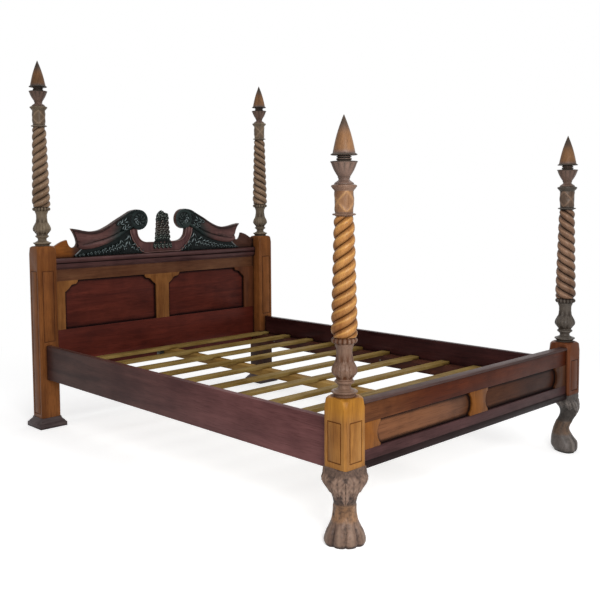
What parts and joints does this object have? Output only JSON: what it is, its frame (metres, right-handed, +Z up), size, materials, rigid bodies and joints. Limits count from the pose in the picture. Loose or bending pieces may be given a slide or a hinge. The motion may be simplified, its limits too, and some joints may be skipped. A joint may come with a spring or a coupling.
{
  "type": "four poster bed",
  "caption": "Wooden four-poster bed frame with spiral-turned posts, panelled headboard with a broken scroll pediment, panelled footboard on carved legs and a slatted base",
  "frame": {"origin": "on the floor under the middle of the bed, midway between the four posts", "axes": "+X to the right seen from the foot end, +Y from the foot end to the headboard, +Z up"},
  "size_m": [1.6852, 2.3186, 1.923],
  "materials": {
    "amber_wood": "satin polish over honey-brown hardwood",
    "red_wood": "satin polish over red-brown mahogany",
    "dark_wood": "dark stained and polished turning and carving",
    "ebonised_wood": "ebonised, satin",
    "rail_wood": "dark stained and polished",
    "slat_wood": "plain sawn softwood, unfinished",
    "steel": "zinc-plated steel"
  },
  "bodies": {
    "root": {"post_block_head_left": "amber_wood", "post_block_head_right": "amber_wood", "post_block_foot_left": "amber_wood", "post_block_foot_right": "amber_wood", "turned_post_head_left": "amber_wood", "turned_post_head_right": "amber_wood", "turned_post_foot_left": "amber_wood", "turned_post_foot_right": "amber_wood", "finial_head_left": "dark_wood", "finial_head_right": "dark_wood", "finial_foot_left": "dark_wood", "finial_foot_right": "dark_wood", "plinth_left": "ebonised_wood", "plinth_right": "ebonised_wood", "leg_left": "dark_wood", "leg_right": "dark_wood", "head_top_rail": "red_wood", "head_bottom_rail": "red_wood", "head_stile_left": "amber_wood", "head_stile_right": "amber_wood", "head_muntin": "amber_wood", "head_panel_left": "red_wood", "head_panel_right": "red_wood", "ledge_moulding": "red_wood", "pediment": "red_wood", "scroll_left": "ebonised_wood", "scroll_right": "ebonised_wood", "crest_ornament": "ebonised_wood", "foot_top_rail": "red_wood", "foot_bottom_rail": "red_wood", "foot_stile_left": "amber_wood", "foot_stile_right": "amber_wood", "foot_muntin": "amber_wood", "foot_panel_left": "red_wood", "foot_panel_right": "red_wood", "foot_cap_moulding": "red_wood", "foot_base_moulding": "rail_wood", "side_rail_left": "rail_wood", "side_rail_right": "rail_wood", "ledger_left": "slat_wood", "ledger_right": "slat_wood", "centre_rail": "slat_wood", "slat_1": "slat_wood", "slat_2": "slat_wood", "slat_3": "slat_wood", "slat_4": "slat_wood", "slat_5": "slat_wood", "slat_6": "slat_wood", "slat_7": "slat_wood", "slat_8": "slat_wood", "slat_9": "slat_wood", "slat_10": "slat_wood", "slat_11": "slat_wood", "slat_screws": "steel", "ledger_screws": "steel", "rail_hook_plates": "steel", "post_catch_plates": "steel", "centre_rail_hangers": "steel"}
  },
  "joints": []
}
